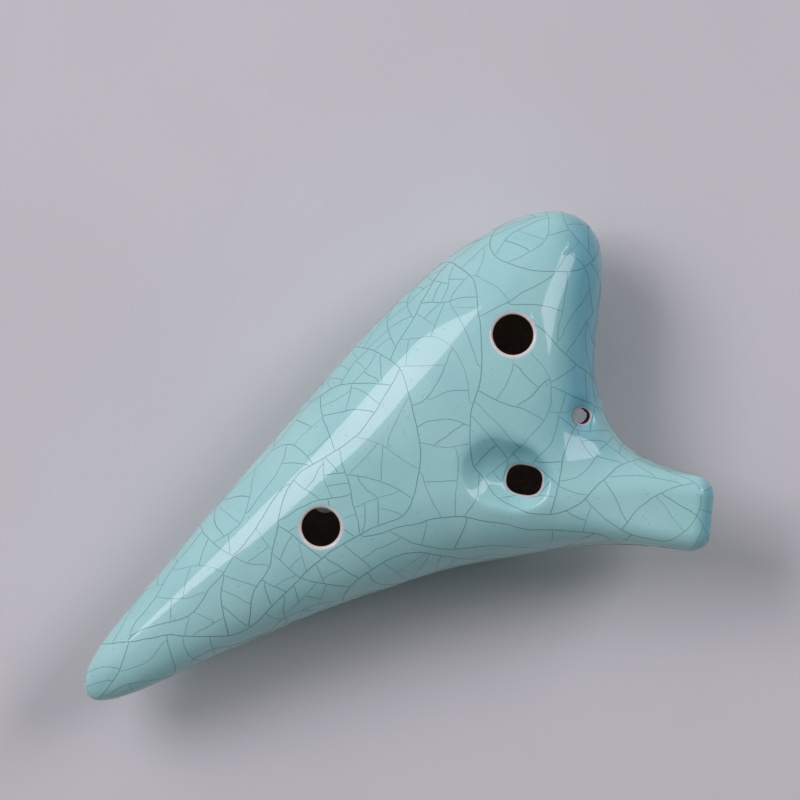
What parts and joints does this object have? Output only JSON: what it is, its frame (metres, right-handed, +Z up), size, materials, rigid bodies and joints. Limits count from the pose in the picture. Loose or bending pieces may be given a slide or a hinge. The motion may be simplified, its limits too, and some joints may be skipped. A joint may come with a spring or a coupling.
{
  "type": "ocarina",
  "caption": "Transverse ceramic ocarina with a tapering tail, broad head and angled mouthpiece, a dished sound window, thumb and finger holes and a cord hole, in pale turquoise crackle glaze.",
  "frame": {"origin": "middle of the outline seen from above, on the surface that the belly rests on", "axes": "+X from the tail to the head, +Z up through the thumb-hole side, and the mouthpiece points to -Y and +X"},
  "size_m": [0.181, 0.1008, 0.0467],
  "materials": {
    "glazed_clay": "gloss",
    "luting_slip": "matte"
  },
  "bodies": {
    "root": {"back_shell": "glazed_clay", "front_shell": "glazed_clay", "seam_slip": "luting_slip", "labium_ramp": "glazed_clay", "mouthpiece_block": "glazed_clay", "windway_roof": "glazed_clay", "roof_slip": "luting_slip", "neck_slip": "luting_slip"}
  },
  "joints": []
}
